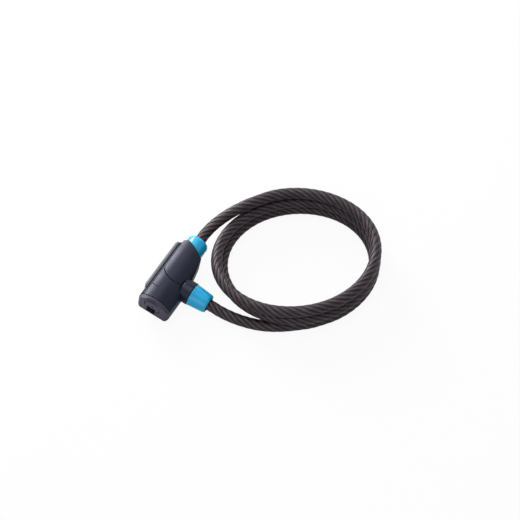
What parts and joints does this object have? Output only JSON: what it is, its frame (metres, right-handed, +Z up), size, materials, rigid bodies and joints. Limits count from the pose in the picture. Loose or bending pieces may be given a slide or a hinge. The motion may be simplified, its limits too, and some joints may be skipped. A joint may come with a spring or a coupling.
{
  "type": "bicycle cable lock",
  "caption": "Key-operated bicycle cable lock: T-shaped head with a plug-in bolt, and a jacketed steel cable in loose turns.",
  "frame": {"origin": "on the ground, under the middle of the box of the head and the bolt sleeve", "axes": "+Y along the head from the keyhole end to the cable collar, +X to the bolt's side, +Z up, away from the ground that the lock lies on"},
  "size_m": [0.2041, 0.2127, 0.037],
  "materials": {
    "shell_plastic": "satin moulded plastic, near black with a blue cast",
    "boss_plastic": "semi-gloss black plastic",
    "grey_plastic": "satin grey plastic",
    "rail_plastic": "satin dark grey plastic",
    "blue_plastic": "glossy light blue plastic",
    "rubber": "black rubber",
    "cable_jacket": "smoky clear jacket over twisted steel strands",
    "zinc": "die-cast zinc",
    "steel": "plated steel",
    "brass": "machined brass"
  },
  "bodies": {
    "housing": {"rear_shell": "shell_plastic", "front_shell": "shell_plastic", "lower_front_cover": "shell_plastic", "side_rail": "rail_plastic", "side_strip": "rubber", "shell_screws": "steel", "end_cap": "grey_plastic", "dust_cover_pin": "steel", "anti_drill_plate": "steel", "lock_body": "zinc", "cylinder_barrel": "brass", "latch_cover": "steel", "socket_boss": "boss_plastic", "socket_seal": "rubber", "cable_collar": "blue_plastic", "collar_grommet": "rubber", "fixed_ferrule": "steel", "ferrule_pin": "steel", "cable_core_head": "steel", "cable_start_lead": "cable_jacket", "cable_coil": "cable_jacket"},
    "dust_cover": {"dust_cover": "grey_plastic"},
    "key_plug": {"key_plug": "brass", "plug_cam": "steel", "plug_circlip": "steel", "wafer_springs": "steel"},
    "wafers": {"wafers": "brass"},
    "latch": {"latch": "steel"},
    "bolt": {"locking_bolt": "steel", "bolt_sleeve": "blue_plastic", "bolt_grommet": "rubber", "cable_core_bolt": "steel", "cable_end_lead": "cable_jacket"}
  },
  "joints": [
    {"name": "dust_cover_turn", "type": "hinge", "parent": "housing", "child": "dust_cover", "pos_m": [-0.01271, -0.04645, 0.01948], "axis": [0, 1, 0], "range_deg": [0, 180]},
    {"name": "key_turn", "type": "hinge", "parent": "housing", "child": "key_plug", "pos_m": [-0.01431, -0.02895, 0.01349], "axis": [0, 1, 0], "range_deg": [0, 90]},
    {"name": "wafers_lift", "type": "slide", "parent": "key_plug", "child": "wafers", "axis": [0.1736, 0, 0.9848], "range_m": [0, 0.0006], "stiffness_N_per_m": 200, "springref_m": 0.0006},
    {"name": "latch_slide", "type": "slide", "parent": "housing", "child": "latch", "axis": [-0.1736, 0, -0.9848], "range_m": [0, 0.0017]},
    {"name": "bolt_pull", "type": "slide", "parent": "housing", "child": "bolt", "axis": [0.9848, 0, -0.1736], "range_m": [0, 0.02], "deforming": ["cable_end_lead"]}
  ],
  "couplings": [
    {"joint": "key_turn", "follows": "latch_slide", "rad_per_m": 925.63}
  ]
}
